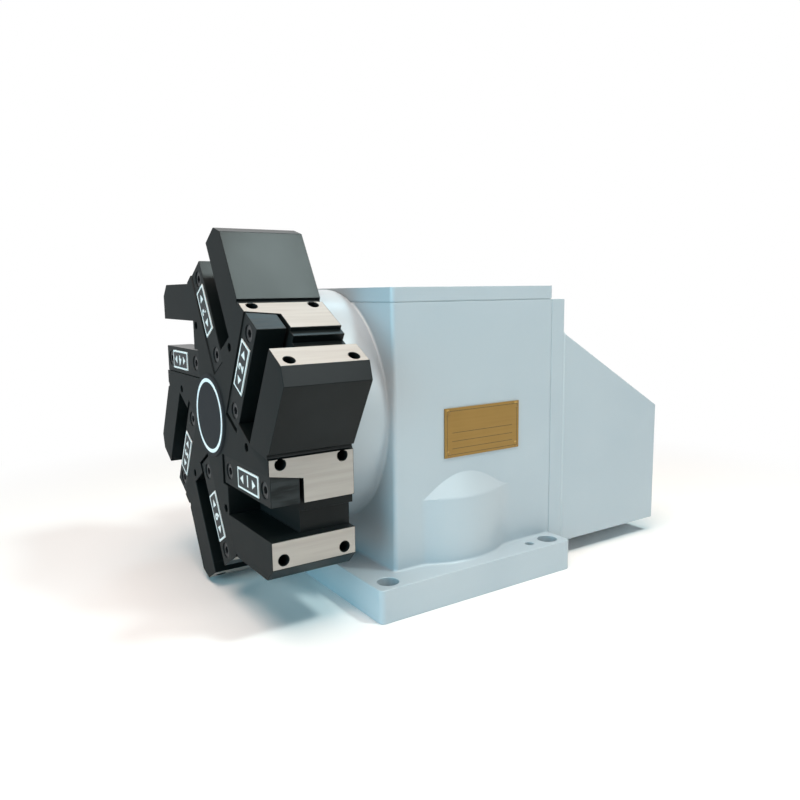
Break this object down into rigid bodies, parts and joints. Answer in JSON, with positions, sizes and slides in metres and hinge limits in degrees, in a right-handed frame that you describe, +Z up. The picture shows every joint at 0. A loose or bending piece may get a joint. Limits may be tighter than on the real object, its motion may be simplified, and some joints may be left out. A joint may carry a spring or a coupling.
{
  "type": "lathe tool turret",
  "caption": "Lathe tool turret: a pinwheel disc of wedge-clamped tool slots indexes on a box housing with a round spigot, bolted base flange and sloped motor cover.",
  "frame": {"origin": "middle of the base flange's underside, the centre of the base bolt pattern", "axes": "+X along the turret axis from the tool disc to the motor cover, +Y to the side away from the nameplate, +Z up"},
  "size_m": [0.4509, 0.3054, 0.3158],
  "materials": {
    "housing_paint": "semi-gloss enamel over cast iron",
    "disc_black": "black oxide with ground station faces",
    "wedge_black": "black oxide",
    "black_screws": "black oxide",
    "ground_steel": "ground",
    "bush_bronze": "turned",
    "plate_brass": "etched and lacquered",
    "seal_rubber": "moulded",
    "motor_paint": "satin",
    "black_plastic": "moulded",
    "hub_black": "satin with a white ring",
    "tag_white": "printed plate"
  },
  "bodies": {
    "housing": {"housing_casting": "housing_paint", "top_cover": "housing_paint", "top_cover_screws": "black_screws", "rear_plate": "housing_paint", "rear_plate_screws": "black_screws", "motor_cover": "housing_paint", "cover_posts": "ground_steel", "motor_cover_screws": "black_screws", "cable_gland": "black_plastic", "nameplate": "plate_brass", "nameplate_rivets": "plate_brass", "fixed_tooth_ring": "ground_steel", "fixed_ring_screws": "black_screws", "front_bush": "bush_bronze", "spindle_seal": "seal_rubber", "rear_bush": "bush_bronze", "gear_motor": "motor_paint", "motor_screws": "black_screws", "encoder_sensor": "black_plastic"},
    "tool_disc": {"tool_disc": "disc_black", "hub_cap": "hub_black", "disc_bolts": "black_screws", "disc_tooth_ring": "ground_steel", "disc_ring_screws": "black_screws", "spindle": "ground_steel", "spindle_gear": "ground_steel", "gear_key": "ground_steel", "spindle_nut": "ground_steel", "encoder_disc": "ground_steel"},
    "lock_ring": {"lock_ring": "ground_steel", "lock_ring_pins": "ground_steel"},
    "motor_pinion": {"motor_shaft": "ground_steel", "drive_pinion": "ground_steel"},
    "wedge_1": {"wedge_1": "wedge_black", "wedge_screws_1": "black_screws", "station_tag_1": "tag_white"},
    "wedge_2": {"wedge_2": "wedge_black", "wedge_screws_2": "black_screws", "station_tag_2": "tag_white"},
    "wedge_3": {"wedge_3": "wedge_black", "wedge_screws_3": "black_screws", "station_tag_3": "tag_white"},
    "wedge_4": {"wedge_4": "wedge_black", "wedge_screws_4": "black_screws", "station_tag_4": "tag_white"},
    "wedge_5": {"wedge_5": "wedge_black", "wedge_screws_5": "black_screws", "station_tag_5": "tag_white"},
    "wedge_6": {"wedge_6": "wedge_black", "wedge_screws_6": "black_screws", "station_tag_6": "tag_white"}
  },
  "joints": [
    {"name": "disc_index", "type": "hinge", "parent": "housing", "child": "tool_disc", "pos_m": [0, 0, 0.16], "axis": [1, 0, 0], "continuous": true},
    {"name": "pinion_spin", "type": "hinge", "parent": "housing", "child": "motor_pinion", "pos_m": [0, 0, 0.085], "axis": [1, 0, 0], "continuous": true},
    {"name": "lock_slide", "type": "slide", "parent": "housing", "child": "lock_ring", "axis": [-1, 0, 0], "range_m": [0, 0.004]},
    {"name": "wedge_1_slide", "type": "slide", "parent": "tool_disc", "child": "wedge_1", "axis": [-1, 0, 0], "range_m": [0, 0.004]},
    {"name": "wedge_2_slide", "type": "slide", "parent": "tool_disc", "child": "wedge_2", "axis": [-1, 0, 0], "range_m": [0, 0.004]},
    {"name": "wedge_3_slide", "type": "slide", "parent": "tool_disc", "child": "wedge_3", "axis": [-1, 0, 0], "range_m": [0, 0.004]},
    {"name": "wedge_4_slide", "type": "slide", "parent": "tool_disc", "child": "wedge_4", "axis": [-1, 0, 0], "range_m": [0, 0.004]},
    {"name": "wedge_5_slide", "type": "slide", "parent": "tool_disc", "child": "wedge_5", "axis": [-1, 0, 0], "range_m": [0, 0.004]},
    {"name": "wedge_6_slide", "type": "slide", "parent": "tool_disc", "child": "wedge_6", "axis": [-1, 0, 0], "range_m": [0, 0.004]}
  ],
  "couplings": [
    {"joint": "pinion_spin", "follows": "disc_index", "ratio": -2.75}
  ]
}
